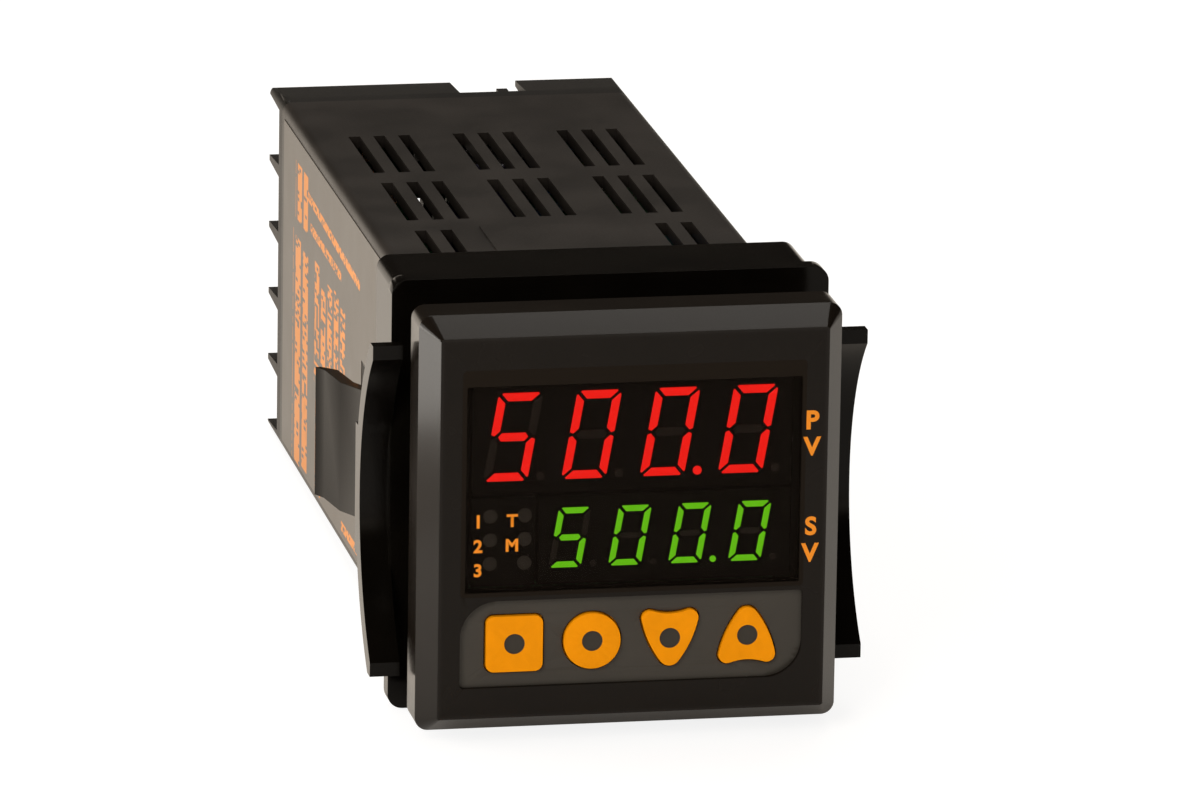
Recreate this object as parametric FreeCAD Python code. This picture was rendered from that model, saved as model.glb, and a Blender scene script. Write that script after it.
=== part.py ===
import FreeCAD, Part
import math
import os

# Panel mounted temperature controller, 48 by 48 mm, with its sliding mounting frame.
# Frame: origin at the middle of the bezel's rear face, which seats on the panel.
# X is right seen from the front, Y runs rearward into the panel, Z is up. Millimetres.

V = FreeCAD.Vector

# Driving sizes of the bezel
bezel_size = 48.0
bezel_wall_depth = 5.0
bevel_depth = 3.0
bevel_inset = 2.0
bezel_corner = 1.5
front_corner = 0.35
front_plate = 1.8
spigot_depth = 9.0
spigot_wall = 1.4
spigot_clearance = 0.06
seat_depth = 0.8
seat_clearance = 0.05
hollow_corner = 0.8

# Driving sizes of the case
case_width = 42.6
case_height = 43.2
case_wall = 1.5
case_corner = 1.2
case_length = 106.0
top_pad_width = 17.2
top_pad_height = 0.25
top_pad_start = 3.0
top_pad_end = 42.5

# Vent slots in the top and the bottom of the case
vent_width = 1.4
vent_length = 18.0
vent_pitch = 3.0
vent_group_pitch = 12.6
vent_row_pitch = 22.9
vent_rear_margin = 18.1

# Overhang of cutting shapes past the surface they cut
cut_over = 0.2

# Ratchet grooves in the sides of the case
groove_pitch = 1.6
groove_depth = 0.5
groove_height = 9.0
groove_start = 12.0
groove_count = 22

# Display window
window_width = 39.0
window_top = 18.3
window_bottom = -7.9
window_thickness = 0.8
window_ledge = 0.5
window_corner = 0.5
view_top = 16.4

# Key panel and keys
key_panel_width = 39.0
key_panel_top = -8.4
key_panel_bottom = -18.5
key_pocket_depth = 1.0
key_panel_thickness = 0.4
key_panel_round = 4.2
key_panel_sharp = 0.5
key_pitch = 8.85
key_row_z = -13.5
key_size = 6.45
key_corner = 0.9
key_proud = 0.45
key_clearance = 0.2
key_rim = 0.55
key_rim_thickness = 0.8
key_travel = 0.5
key_tip_radius = 1.25
key_foot_radius = 0.95
key_side_radius = 12.0
key_base_radius = 6.0
key_dot_diameter = 2.3
key_dot_depth = 0.15

# Switches behind the keys
switch_size = 6.0
switch_height = 3.4
plunger_diameter = 3.2
plunger_proud = 1.2
plunger_engaged = 1.0
plunger_clearance = 0.1
stem_diameter = 2.6

# Display board and light modules
board_thickness = 1.6
display_board_y = 2.2
board_clearance = 0.15
module_setback = 0.5
segment_relief = 0.15
module_clearance = 0.24
lamp_module_right = -10.9
module_gap = 0.4
red_height = 10.4
red_pitch = 8.8
red_stroke = 1.15
red_base_z = 5.0
red_first_x = -13.7
green_height = 6.9
green_pitch = 6.75
green_stroke = 0.85
green_base_z = -5.1
green_first_x = -6.9
digit_aspect = 0.52
digit_slant = 0.17
segment_gap = 0.16
dot_offset = 0.2
lamp_pitch_x = 3.9
lamp_pitch_z = 2.75
lamp_first_x = -16.0
lamp_first_z = 1.1
lamp_diameter = 1.6

# Mounting frame, a one piece moulding that slides on the case
flange_step = 0.8
flange_corner = 1.7
flange_y = 7.0
flange_thickness = 2.6
collar_wall = 2.65
collar_top_wall = 2.15
collar_corner = 1.5
collar_end = 21.8
frame_side_clearance = 0.25
frame_top_clearance = 0.2
frame_bottom_clearance = 0.2
arm_root = 0.2
arm_width = 3.4
arm_half_height = 19.2
arm_tip_y = 0.5
arm_bow = 7.9
arm_thickness_middle = 2.6
arm_thickness_tip = 1.7
arm_foot_height = 1.6
lever_half_height = 7.6
lever_plate = 1.5
lever_sink = 0.8
lever_slit = 0.5
lever_straight = 2.0
lever_step = 2.2
lever_step_length = 4.4
lever_lean = 0.9
lever_lean_length = 5.6
lip_flare = 0.8
lip_length = 1.6
lip_thin = 0.6
pawl_height = 7.0
pawl_length = 1.0
pawl_slope = 2.2
pawl_setback = 0.4
web_setback = 0.4

# Rear terminal block
terminal_rows = 5
column_margin = 6.9
terminal_columns = 3
block_plug_depth = 6.0
block_plug_wall = 1.6
block_plug_clearance = 0.06
block_plate = 2.4
barrier_depth = 7.0
barrier_thickness = 1.5
barrier_tip = 0.7
divider_thickness = 1.3
divider_setback = 0.6
hood_notch_from = 0.9
hood_notch_to = 9.0
rear_vent_width = 2.6
rear_vent_height = 5.6
rear_vent_x = -5.2

# Terminal hardware
screw_head_diameter = 5.6
screw_head_height = 2.0
screw_diameter = 3.0
screw_length = 6.1
screw_slot_width = 0.8
screw_slot_depth = 0.9
clamp_width = 6.6
clamp_height = 6.2
clamp_thickness = 0.9
strip_thickness = 0.8
strip_width = 6.0
tail_height = 1.6
tail_offset = 2.3
tail_clearance = 0.05
screw_hole_clearance = 0.05

# Boards and large components inside
power_board_lift = 2.7
power_board_gap = 1.44
side_board_gap = 0.3
side_board_margin = 1.24
rear_board_margin = 0.3
rear_board_gap = 0.2
core_width = 25.0
core_stack = 10.5
core_height = 22.0
core_middle_y = 37.0
core_limb = 4.1
winding_length = 21.0
winding_clearance = 0.3
tall_cap_diameter = 10.0
tall_cap_top = 18.3
tall_cap_x = 1.0
tall_cap_setback = 8.4
short_cap_diameter = 8.0
short_cap_height = 12.5
short_cap_inset = 4.5
short_cap_y = 58.5
can_rounding = 0.6
relay_width = 12.0
relay_length = 19.0
relay_height = 14.0
relay_y = 62.0
film_cap_length = 13.0
film_cap_width = 5.5
film_cap_height = 11.0
film_cap_inset = 6.0
film_cap_y = 70.0
chip_size = 10.0
chip_thickness = 1.6
chip_y = 25.0
fuse_diameter = 8.4
fuse_height = 7.6
fuse_x = -2.4
fuse_y = 53.5
varistor_width = 7.5
varistor_thickness = 3.4
varistor_height = 10.0
varistor_inset = 5.5
varistor_setback = 13.0
connector_size = 3.0
connector_gap = 1.0
relay_z = 6.7
relay_gap = 1.0

# Printed sheet on the left side
label_thickness = 0.1
label_start = 24.0
label_end_margin = 2.0
label_edge = 0.4

# Sizes worked out from the ones above
front_y = -(bezel_wall_depth + bevel_depth)
plate_back_y = front_y + front_plate
half_w = case_width / 2
half_h = case_height / 2
inner_w = case_width - 2 * case_wall
inner_h = case_height - 2 * case_wall
spigot_w = inner_w - 2 * spigot_clearance
spigot_h = inner_h - 2 * spigot_clearance
hollow_w = spigot_w - 2 * spigot_wall
hollow_h = spigot_h - 2 * spigot_wall
side_board_x = hollow_w / 2 - side_board_gap - board_thickness
side_board_half_height = hollow_h / 2 - side_board_margin
power_board_width = 2 * (side_board_x - power_board_gap)
module_side = hollow_w / 2 - module_clearance
power_board_z = power_board_lift - inner_h / 2
opening_half = half_w + frame_side_clearance
collar_half = opening_half + collar_wall
frame_ceiling = half_h + top_pad_height + frame_top_clearance
collar_half_height = frame_ceiling + collar_top_wall
arm_inner = collar_half + flange_step - arm_root
view_half = window_width / 2 - window_ledge
module_front_y = front_y + window_thickness + module_setback
panel_surface_y = front_y + key_pocket_depth - key_panel_thickness
key_face_y = panel_surface_y - key_proud
key_centres = [(i - 1.5) * key_pitch for i in range(4)]
key_names = ["square", "circle", "down", "up"]
switch_front_y = display_board_y - switch_height
block_rear_y = case_length + block_plate
terminal_pitch = (case_height - barrier_thickness) / terminal_rows
column_pitch = half_w - column_margin
row_centres = [((terminal_rows - 1) / 2 - i) * terminal_pitch for i in range(terminal_rows)]
column_centres = [(i - (terminal_columns - 1) / 2) * column_pitch for i in range(terminal_columns)]
power_board_top = power_board_z + board_thickness
display_board_back = display_board_y + board_thickness
rear_board_back = case_length - block_plug_depth - rear_board_gap
rear_board_y = rear_board_back - board_thickness
groove_end = groove_start + groove_count * groove_pitch

parts = {}


def box(x0, x1, y0, y1, z0, z1):
    """Box between two corners."""
    return Part.makeBox(x1 - x0, y1 - y0, z1 - z0, V(x0, y0, z0))


def slab(x, z, width, height, y0, y1):
    """Box centred on x and z, from y0 to y1."""
    return box(x - width / 2, x + width / 2, y0, y1, z - height / 2, z + height / 2)


def rod(x, z, diameter, y0, y1):
    """Round rod along Y."""
    return Part.makeCylinder(diameter / 2, y1 - y0, V(x, y0, z), V(0, 1, 0))


def corner_wire(x0, x1, z0, z1, y, radii):
    """Rectangle in the plane at y; radii are for bottom left, bottom right, top right, top left."""
    bl, br, tr, tl = radii
    runs = [((x0 + bl, z0), (x1 - br, z0), br, (x1 - br, z0 + br), -90),
            ((x1, z0 + br), (x1, z1 - tr), tr, (x1 - tr, z1 - tr), 0),
            ((x1 - tr, z1), (x0 + tl, z1), tl, (x0 + tl, z1 - tl), 90),
            ((x0, z1 - tl), (x0, z0 + bl), bl, (x0 + bl, z0 + bl), 180)]
    edges = []
    for start, end, radius, centre, angle in runs:
        edges.append(Part.makeLine(V(start[0], y, start[1]), V(end[0], y, end[1])))
        if radius > 0:
            points = []
            for step in (0, 45, 90):
                turn = math.radians(angle + step)
                points.append(V(centre[0] + radius * math.cos(turn), y, centre[1] + radius * math.sin(turn)))
            edges.append(Part.Arc(*points).toShape())
    return Part.Wire(Part.__sortEdges__(edges))


def round_prism(width, height, radius, y0, y1, x=0.0, z=0.0):
    """Prism along Y with one radius on its four long corners."""
    wire = corner_wire(x - width / 2, x + width / 2, z - height / 2, z + height / 2, y0, [radius] * 4)
    return Part.Face(wire).extrude(V(0, y1 - y0, 0))


def polygon_prism(points, y0, y1):
    """Prism along Y over points given as (x, z)."""
    corners = [V(x, y0, z) for x, z in points]
    return Part.Face(Part.makePolygon(corners + [corners[0]])).extrude(V(0, y1 - y0, 0))


def plan_prism(points, z0, z1):
    """Prism along Z over points given as (x, y)."""
    corners = [V(x, y, z0) for x, y in points]
    return Part.Face(Part.makePolygon(corners + [corners[0]])).extrude(V(0, 0, z1 - z0))


def side_prism(points, x0, x1):
    """Prism along X over points given as (y, z)."""
    corners = [V(x0, y, z) for y, z in points]
    return Part.Face(Part.makePolygon(corners + [corners[0]])).extrude(V(x1 - x0, 0, 0))


def mirror_x(shape):
    """Mirror image across the plane x = 0."""
    return shape.mirror(V(0, 0, 0), V(1, 0, 0))


def circle_crossing(first, first_radius, second, second_radius):
    """Crossing of two circles that lies to the left of and below the line between their centres."""
    dx, dz = second[0] - first[0], second[1] - first[1]
    span = math.hypot(dx, dz)
    along = (first_radius ** 2 - second_radius ** 2 + span ** 2) / (2 * span)
    aside = math.sqrt(first_radius ** 2 - along ** 2)
    return (first[0] + (dx * along + dz * aside) / span, first[1] + (dz * along - dx * aside) / span)


def on_circle(centre, radius, start, end):
    """Point of a circle in the direction that leads from one point to another."""
    span = math.hypot(end[0] - start[0], end[1] - start[1])
    return (centre[0] + radius * (end[0] - start[0]) / span, centre[1] + radius * (end[1] - start[1]) / span)


def arc_middle(centre, radius, start, end):
    """Middle point of the arc between two points of a circle."""
    return on_circle(centre, radius, centre, ((start[0] + end[0]) / 2, (start[1] + end[1]) / 2))


def key_outline(name, x, grow, y0, y1):
    """Prism of one key's outline, grown by a clearance on all sides."""
    size = key_size + 2 * grow
    if name == "square":
        return round_prism(size, size, key_corner + grow, y0, y1, x, key_row_z)
    if name == "circle":
        return rod(x, key_row_z, size, y0, y1)
    # A triangle of arcs: three corners, two bulging sides and a base that sinks inward. Each wide arc
    # runs smoothly into its corners, so its centre lies at the sum or the difference of their radii.
    sign = 1 if name == "up" else -1
    half = key_size / 2
    tip, foot = (0.0, half - key_tip_radius), (half - key_foot_radius, key_foot_radius - half)
    side = circle_crossing(tip, key_side_radius - key_tip_radius, foot, key_side_radius - key_foot_radius)
    base = (0.0, foot[1] - math.sqrt((key_base_radius + key_foot_radius) ** 2 - foot[0] ** 2))
    tip_end = on_circle(tip, key_tip_radius + grow, side, tip)
    foot_start = on_circle(foot, key_foot_radius + grow, side, foot)
    foot_end = on_circle(foot, key_foot_radius + grow, foot, base)
    base_middle = (0.0, base[1] + key_base_radius - grow)

    def arc(start, middle, end, flip=1):
        ends = [V(x + flip * px, y0, key_row_z + sign * pz) for px, pz in (start, middle, end)]
        return Part.Arc(*ends).toShape()

    edges = [arc((-tip_end[0], tip_end[1]), (0.0, half + grow), tip_end),
             arc((-foot_end[0], foot_end[1]), base_middle, foot_end)]
    for flip in (-1, 1):
        bulge = arc_middle(side, key_side_radius + grow, tip_end, foot_start)
        corner = arc_middle(foot, key_foot_radius + grow, foot_start, foot_end)
        edges += [arc(tip_end, bulge, foot_start, flip), arc(foot_start, corner, foot_end, flip)]
    return Part.Face(Part.Wire(Part.__sortEdges__(edges))).extrude(V(0, y1 - y0, 0))


def key_panel_prism(grow, y0, y1):
    """Prism of the key panel's outline: round at top left and bottom right, sharp elsewhere."""
    half = key_panel_width / 2 + grow
    radii = [key_panel_sharp, key_panel_round + grow, key_panel_sharp, key_panel_round + grow]
    wire = corner_wire(-half, half, key_panel_bottom - grow, key_panel_top + grow, y0, radii)
    return Part.Face(wire).extrude(V(0, y1 - y0, 0))


def window_prism(ledge, y0, y1):
    """Prism of the display window, smaller by the ledge that it rests on."""
    return round_prism(window_width - 2 * ledge, window_top - window_bottom - 2 * ledge, window_corner,
                       y0, y1, 0.0, (window_top + window_bottom) / 2)


def segment_prisms(height, stroke, first_x, pitch, base_z, lit):
    """Lit and unlit segments of a row of four slanted digits, as flat prisms."""
    width = height * digit_aspect
    middle = height / 2
    reach = stroke / 2
    low, high = reach, height - reach
    left, right = -width / 2 + reach, width / 2 - reach

    def flat(z):
        start, end = left + segment_gap, right - segment_gap
        return [(start, z), (start + reach, z + reach), (end - reach, z + reach), (end, z),
                (end - reach, z - reach), (start + reach, z - reach)]

    def upright(x, z0, z1):
        start, end = z0 + segment_gap, z1 - segment_gap
        return [(x, start), (x + reach, start + reach), (x + reach, end - reach), (x, end),
                (x - reach, end - reach), (x - reach, start + reach)]

    shapes = {"a": flat(high), "g": flat(middle), "d": flat(low),
              "f": upright(left, middle, high), "b": upright(right, middle, high),
              "e": upright(left, low, middle), "c": upright(right, low, middle)}
    on, off = [], []
    y0 = module_front_y - segment_relief
    for index, letters in enumerate(lit):
        x = first_x + index * pitch
        for letter, points in shapes.items():
            moved = [(x + px + digit_slant * (pz - middle), base_z + pz) for px, pz in points]
            prism = polygon_prism(moved, y0, module_front_y)
            (on if letter in letters else off).append(prism)
        dot_x = x + pitch / 2 - digit_slant * middle + dot_offset * stroke
        dot = rod(dot_x, base_z + reach, stroke, y0, module_front_y)
        (on if "." in letters else off).append(dot)
    return on, off


def build_bezel():
    """Bezel: bevelled front, side wall, seat and spigot for the case, window and key openings."""
    half = bezel_size / 2
    wide = corner_wire(-half, half, -half, half, -bezel_wall_depth, [bezel_corner] * 4)
    small = half - bevel_inset
    narrow = corner_wire(-small, small, -small, small, front_y, [front_corner] * 4)
    shape = Part.makeLoft([narrow, wide], True, True)
    shape = shape.fuse(round_prism(bezel_size, bezel_size, bezel_corner, -bezel_wall_depth, 0.0))
    seat = round_prism(case_width + 2 * seat_clearance, case_height + 2 * seat_clearance,
                       case_corner + seat_clearance, -seat_depth, 0.0)
    shape = shape.cut(seat).fuse(round_prism(spigot_w, spigot_h, case_corner, -seat_depth, spigot_depth))
    shape = shape.cut(round_prism(hollow_w, hollow_h, hollow_corner, plate_back_y, spigot_depth))
    shape = shape.cut(window_prism(0.0, front_y, front_y + window_thickness))
    view = box(-view_half, view_half, front_y, plate_back_y, window_bottom + window_ledge, view_top)
    shape = shape.cut(view)
    shape = shape.cut(key_panel_prism(0.0, front_y, front_y + key_pocket_depth))
    for name, x in zip(key_names, key_centres):
        shape = shape.cut(key_outline(name, x, key_clearance, front_y, plate_back_y))
    return shape.removeSplitter()


def build_keys():
    """Four keys with a retaining rim behind the front plate and a stem on the switch plunger."""
    for name, x in zip(key_names, key_centres):
        key = key_outline(name, x, 0.0, key_face_y, plate_back_y)
        rim = key_outline(name, x, key_clearance + key_rim, plate_back_y, plate_back_y + key_rim_thickness)
        plunger_face = switch_front_y - plunger_proud
        stem = rod(x, key_row_z, stem_diameter, plate_back_y, plunger_face)
        dot = rod(x, key_row_z, key_dot_diameter, key_face_y, key_face_y + key_dot_depth)
        parts["key_" + name] = key.fuse([rim, stem]).cut(dot).removeSplitter()
        parts["switch_plunger_" + name] = rod(x, key_row_z, plunger_diameter, plunger_face,
                                              switch_front_y + plunger_engaged)


def build_switches():
    """Four push switches, each bored for its plunger."""
    bodies = []
    for x in key_centres:
        body = slab(x, key_row_z, switch_size, switch_size, switch_front_y, display_board_y)
        bore_end = switch_front_y + plunger_engaged + key_travel + plunger_clearance
        bore = rod(x, key_row_z, plunger_diameter + 2 * plunger_clearance, switch_front_y, bore_end)
        bodies.append(body.cut(bore))
    return Part.makeCompound(bodies)


def build_key_panel():
    """Thin grey panel in the bezel's pocket with one hole for each key."""
    shape = key_panel_prism(0.0, panel_surface_y, front_y + key_pocket_depth)
    for name, x in zip(key_names, key_centres):
        shape = shape.cut(key_outline(name, x, key_clearance, front_y, plate_back_y))
    return shape


def build_display():
    """Light modules on the display board with their lit and unlit segments and lamps."""
    top = view_top - module_gap
    bottom = window_bottom + window_ledge + module_gap
    split = (red_base_z + green_base_z + green_height) / 2
    y0, y1 = module_front_y, display_board_y
    low_left = lamp_module_right
    parts["red_display_module"] = box(-module_side, module_side, y0, y1, split + module_gap / 2, top)
    parts["green_display_module"] = box(low_left + module_gap, module_side, y0, y1, bottom,
                                        split - module_gap / 2)
    parts["lamp_holder"] = box(-module_side, low_left, y0, y1, bottom, split - module_gap / 2)
    lit = ["afgcd", "abcdef", "abcdef.", "abcdef"]
    red_on, red_off = segment_prisms(red_height, red_stroke, red_first_x, red_pitch, red_base_z, lit)
    green_on, green_off = segment_prisms(green_height, green_stroke, green_first_x, green_pitch,
                                         green_base_z, lit)
    parts["red_lit_segments"] = Part.makeCompound(red_on)
    parts["red_unlit_segments"] = Part.makeCompound(red_off)
    parts["green_lit_segments"] = Part.makeCompound(green_on)
    parts["green_unlit_segments"] = Part.makeCompound(green_off)
    lamps = []
    for column in range(2):
        for row in range(3):
            x = lamp_first_x + column * lamp_pitch_x
            z = lamp_first_z - row * lamp_pitch_z
            lamps.append(rod(x, z, lamp_diameter, module_front_y - segment_relief, module_front_y))
    parts["indicator_lamps"] = Part.makeCompound(lamps)


def build_case():
    """Case sleeve with vent slots, a raised top pad and ratchet grooves in both sides."""
    shape = round_prism(case_width, case_height, case_corner, -seat_depth, case_length)
    shape = shape.fuse(box(-top_pad_width / 2, top_pad_width / 2, top_pad_start, top_pad_end,
                           half_h - case_wall, half_h + top_pad_height))
    shape = shape.cut(round_prism(inner_w, inner_h, case_corner, -seat_depth, case_length))
    cuts = []
    through = case_height + top_pad_height + 2 * cut_over
    for group in (-1, 0, 1):
        for slot in (-1, 0, 1):
            for row in range(3):
                # The third row is left out of the middle group and nearest to it
                if row == 2 and (group == 0 or slot == -group):
                    continue
                x = group * vent_group_pitch + slot * vent_pitch
                y1 = case_length - vent_rear_margin - row * vent_row_pitch
                cuts.append(slab(x, 0.0, vent_width, through, y1 - vent_length, y1))
    for index in range(groove_count):
        y = groove_start + index * groove_pitch
        tooth = [(half_w + cut_over, y), (half_w - groove_depth, y), (half_w + cut_over, y + groove_pitch)]
        groove = plan_prism(tooth, -groove_height / 2, groove_height / 2)
        cuts += [groove, mirror_x(groove)]
    return shape.cut(cuts)


def build_label():
    """Thin printed sheet on the left side of the case, cut away round the grooves."""
    reach = half_h - case_corner - label_edge
    outer = -half_w - label_thickness
    sheet = box(outer, -half_w, label_start, case_length - label_end_margin, -reach, reach)
    clear = groove_height / 2 + label_edge
    return sheet.cut(box(outer, -half_w, label_start, groove_end + label_edge, -clear, clear))


def arm_profile():
    """Outline (y, z) of one spring arm: a bow seen from the side, with a flat foot at each tip."""
    half = arm_half_height
    straight = half - arm_foot_height
    back_tip = arm_tip_y + arm_thickness_tip
    back_mid = arm_tip_y + arm_bow + arm_thickness_middle
    front_mid = arm_tip_y + arm_bow
    edges = [Part.Arc(V(0, arm_tip_y, straight), V(0, front_mid, 0), V(0, arm_tip_y, -straight)).toShape(),
             Part.makeLine(V(0, arm_tip_y, -straight), V(0, arm_tip_y, -half)),
             Part.makeLine(V(0, arm_tip_y, -half), V(0, back_tip, -half)),
             Part.Arc(V(0, back_tip, -half), V(0, back_mid, 0), V(0, back_tip, half)).toShape(),
             Part.makeLine(V(0, back_tip, half), V(0, arm_tip_y, half)),
             Part.makeLine(V(0, arm_tip_y, half), V(0, arm_tip_y, straight))]
    return Part.Wire(Part.__sortEdges__(edges))


def build_frame():
    """Mounting frame: flange, collar, two bowed spring arms and two release levers with pawls."""
    shape = round_prism(2 * (collar_half + flange_step), 2 * (collar_half_height + flange_step),
                        flange_corner, flange_y, flange_y + flange_thickness)
    shape = shape.fuse(round_prism(2 * collar_half, 2 * collar_half_height, collar_corner, flange_y,
                                   collar_end))
    floor = -half_h - frame_bottom_clearance
    shape = shape.cut(box(-opening_half, opening_half, flange_y, collar_end, floor, frame_ceiling))
    arm_face = Part.Face(arm_profile())
    arm = arm_face.extrude(V(arm_width, 0, 0))
    arm.translate(V(arm_inner, 0, 0))
    web_y0 = arm_tip_y + arm_bow + web_setback
    web_y1 = web_y0 + arm_thickness_middle
    web = box(collar_half, arm_inner + arm_width, web_y0, web_y1, -lever_half_height, lever_half_height)
    # The lever is a tongue cut free from the collar's side, so its slit is as wide all round
    reach = lever_half_height + lever_slit
    window = box(opening_half - cut_over, collar_half + cut_over, web_y1, collar_end, -reach, reach)
    shape = shape.cut([window, mirror_x(window)])
    inner = collar_half - lever_sink
    step_y = collar_end + lever_straight
    lean_y = step_y + lever_step_length
    lip_y = lean_y + lever_lean_length
    run = [(0.0, web_y0), (0.0, step_y), (lever_step, lean_y), (lever_step + lever_lean, lip_y)]
    tip = (inner + run[-1][0] + lever_plate + lip_flare, lip_y + lip_length)
    outside = [(inner + lever_plate + dx, y) for dx, y in run]
    inside = [(inner + dx, y) for dx, y in run]
    lever = plan_prism(outside + [tip, (tip[0] - lip_thin, tip[1])] + inside[::-1],
                       -lever_half_height, lever_half_height)
    pawl_x = inner + pawl_setback
    pawl = plan_prism([(pawl_x, step_y), (pawl_x, step_y - pawl_slope), (opening_half, step_y - pawl_length),
                       (opening_half, step_y)], -pawl_height / 2, pawl_height / 2)
    side = arm.fuse([web, lever, pawl])
    return shape.fuse([side, mirror_x(side)]).removeSplitter()


def tail_prism(x, z, grow, y0, y1):
    """Tail of a contact strip beside its screw, or the slot for it when grown by a clearance."""
    return slab(x + tail_offset, z, strip_thickness + 2 * grow, tail_height + 2 * grow, y0, y1)


def build_terminal_block():
    """Rear moulding: hollow plug in the case, rear plate, barriers with a notch in the top one, dividers."""
    plug_w = inner_w - 2 * block_plug_clearance
    plug_h = inner_h - 2 * block_plug_clearance
    shape = round_prism(plug_w, plug_h, case_corner, case_length - block_plug_depth, case_length)
    shape = shape.cut(round_prism(plug_w - 2 * block_plug_wall, plug_h - 2 * block_plug_wall, hollow_corner,
                                  case_length - block_plug_depth, case_length))
    shape = shape.fuse(round_prism(case_width, case_height, case_corner, case_length, block_rear_y))
    tip_y = block_rear_y + barrier_depth
    ribs = []
    for index in range(terminal_rows + 1):
        z = (terminal_rows / 2 - index) * terminal_pitch
        half, tip = barrier_thickness / 2, barrier_tip / 2
        ribs.append(side_prism([(block_rear_y, z + half), (block_rear_y, z - half), (tip_y, z - tip),
                                (tip_y, z + tip)], -half_w, half_w))
    for side in (-1, 1):
        ribs.append(slab(side * column_pitch / 2, 0.0, divider_thickness, case_height - 2 * case_corner,
                         block_rear_y, tip_y - divider_setback))
    notch = box(hood_notch_from, hood_notch_to, block_rear_y, tip_y, half_h - barrier_thickness, half_h)
    outline = round_prism(case_width, case_height, case_corner, block_rear_y, tip_y)
    ribs = [rib.common(outline) for rib in ribs]
    ribs[0] = ribs[0].cut(notch)
    shape = shape.fuse(ribs)
    cuts = []
    for z in row_centres:
        cuts.append(slab(rear_vent_x, z, rear_vent_width, rear_vent_height, case_length, block_rear_y))
        for x in column_centres:
            hole = screw_diameter + 2 * screw_hole_clearance
            cuts.append(rod(x, z, hole, case_length, block_rear_y))
            cuts.append(tail_prism(x, z, tail_clearance, case_length, block_rear_y))
    return shape.cut(cuts).removeSplitter()


def build_terminals():
    """Contact strips with tails, wire clamps and screws of all the terminals."""
    strips, clamps, screws = [], [], []
    strip_y = block_rear_y + strip_thickness
    clamp_y = strip_y + clamp_thickness
    for x in column_centres:
        for z in row_centres:
            hole = screw_diameter + 2 * screw_hole_clearance
            bore = rod(x, z, hole, block_rear_y, clamp_y)
            strip = slab(x, z, strip_width, clamp_height, block_rear_y, strip_y)
            tail = tail_prism(x, z, 0.0, rear_board_y, strip_y)
            strips.append(strip.fuse(tail).cut(bore))
            clamp = slab(x, z, clamp_width, clamp_height, strip_y, clamp_y)
            clamps.append(clamp.cut(bore))
            head = rod(x, z, screw_head_diameter, clamp_y, clamp_y + screw_head_height)
            slot = slab(x, z, screw_slot_width, screw_head_diameter, clamp_y + screw_head_height
                        - screw_slot_depth, clamp_y + screw_head_height)
            cross = slab(x, z, screw_head_diameter, screw_slot_width, clamp_y + screw_head_height
                         - screw_slot_depth, clamp_y + screw_head_height)
            shank = rod(x, z, screw_diameter, clamp_y - screw_length, clamp_y)
            screws.append(head.cut([slot, cross]).fuse(shank))
    parts["terminal_strips"] = Part.makeCompound(strips)
    parts["terminal_clamps"] = Part.makeCompound(clamps)
    parts["terminal_screws"] = Part.makeCompound(screws)


def build_boards():
    """Display, power, side and rear boards with the connectors that join them."""
    width = hollow_w - 2 * board_clearance
    height = hollow_h - 2 * board_clearance
    y0, y1 = display_board_back, rear_board_y
    half = power_board_width / 2
    side_back = side_board_x + board_thickness
    parts["display_board"] = round_prism(width, height, hollow_corner, display_board_y, y0)
    parts["power_board"] = box(-half, half, y0, y1, power_board_z, power_board_top)
    parts["side_board"] = box(side_board_x, side_back, y0, y1, -side_board_half_height,
                              side_board_half_height)
    rear = round_prism(inner_w - 2 * rear_board_margin, inner_h - 2 * rear_board_margin, case_corner, y1,
                       rear_board_back)
    cuts = []
    for z in row_centres:
        cuts.append(slab(rear_vent_x, z, rear_vent_width, rear_vent_height, y1, rear_board_back))
        for x in column_centres:
            cuts.append(tail_prism(x, z, tail_clearance, y1, rear_board_back))
    parts["rear_board"] = rear.cut(cuts)
    headers = []
    for y in (y0, y1 - connector_size):
        low_top = power_board_top + connector_size
        headers.append(box(-half, half, y, y + connector_size, power_board_top, low_top))
        headers.append(box(side_board_x - connector_size, side_board_x, y, y + connector_size,
                           low_top + connector_gap, side_board_half_height))
    parts["board_connectors"] = Part.makeCompound(headers)


def standing_can(x, y, diameter, height):
    """Round can standing on the power board, with a rounded rim."""
    can = Part.makeCylinder(diameter / 2, height, V(x, y, power_board_top))
    rims = [edge for edge in can.Edges if edge.BoundBox.ZLength < 0.01]
    return can.makeFillet(can_rounding, rims)


def standing_block(x, y, width, length, height):
    """Moulded block standing on the power board, centred on x and y."""
    z0 = power_board_top
    return box(x - width / 2, x + width / 2, y - length / 2, y + length / 2, z0, z0 + height)


def build_transformer():
    """Laminated core with two windows and the winding on its middle limb."""
    z0, y = power_board_top, core_middle_y
    window = (core_width - 4 * core_limb) / 2
    core = standing_block(0.0, y, core_width, core_stack, core_height)
    low, high = z0 + core_limb, z0 + core_height - core_limb
    for side in (-1, 1):
        x = side * (core_limb + window / 2)
        core = core.cut(box(x - window / 2, x + window / 2, y - core_stack, y + core_stack, low, high))
    coil_half = core_limb + window - winding_clearance
    coil = box(-coil_half, coil_half, y - winding_length / 2, y + winding_length / 2,
               low + winding_clearance, high - winding_clearance)
    limb = box(-core_limb, core_limb, y - core_stack / 2, y + core_stack / 2, low, high)
    parts["transformer_core"] = core
    parts["transformer_winding"] = coil.cut(limb)


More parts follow.
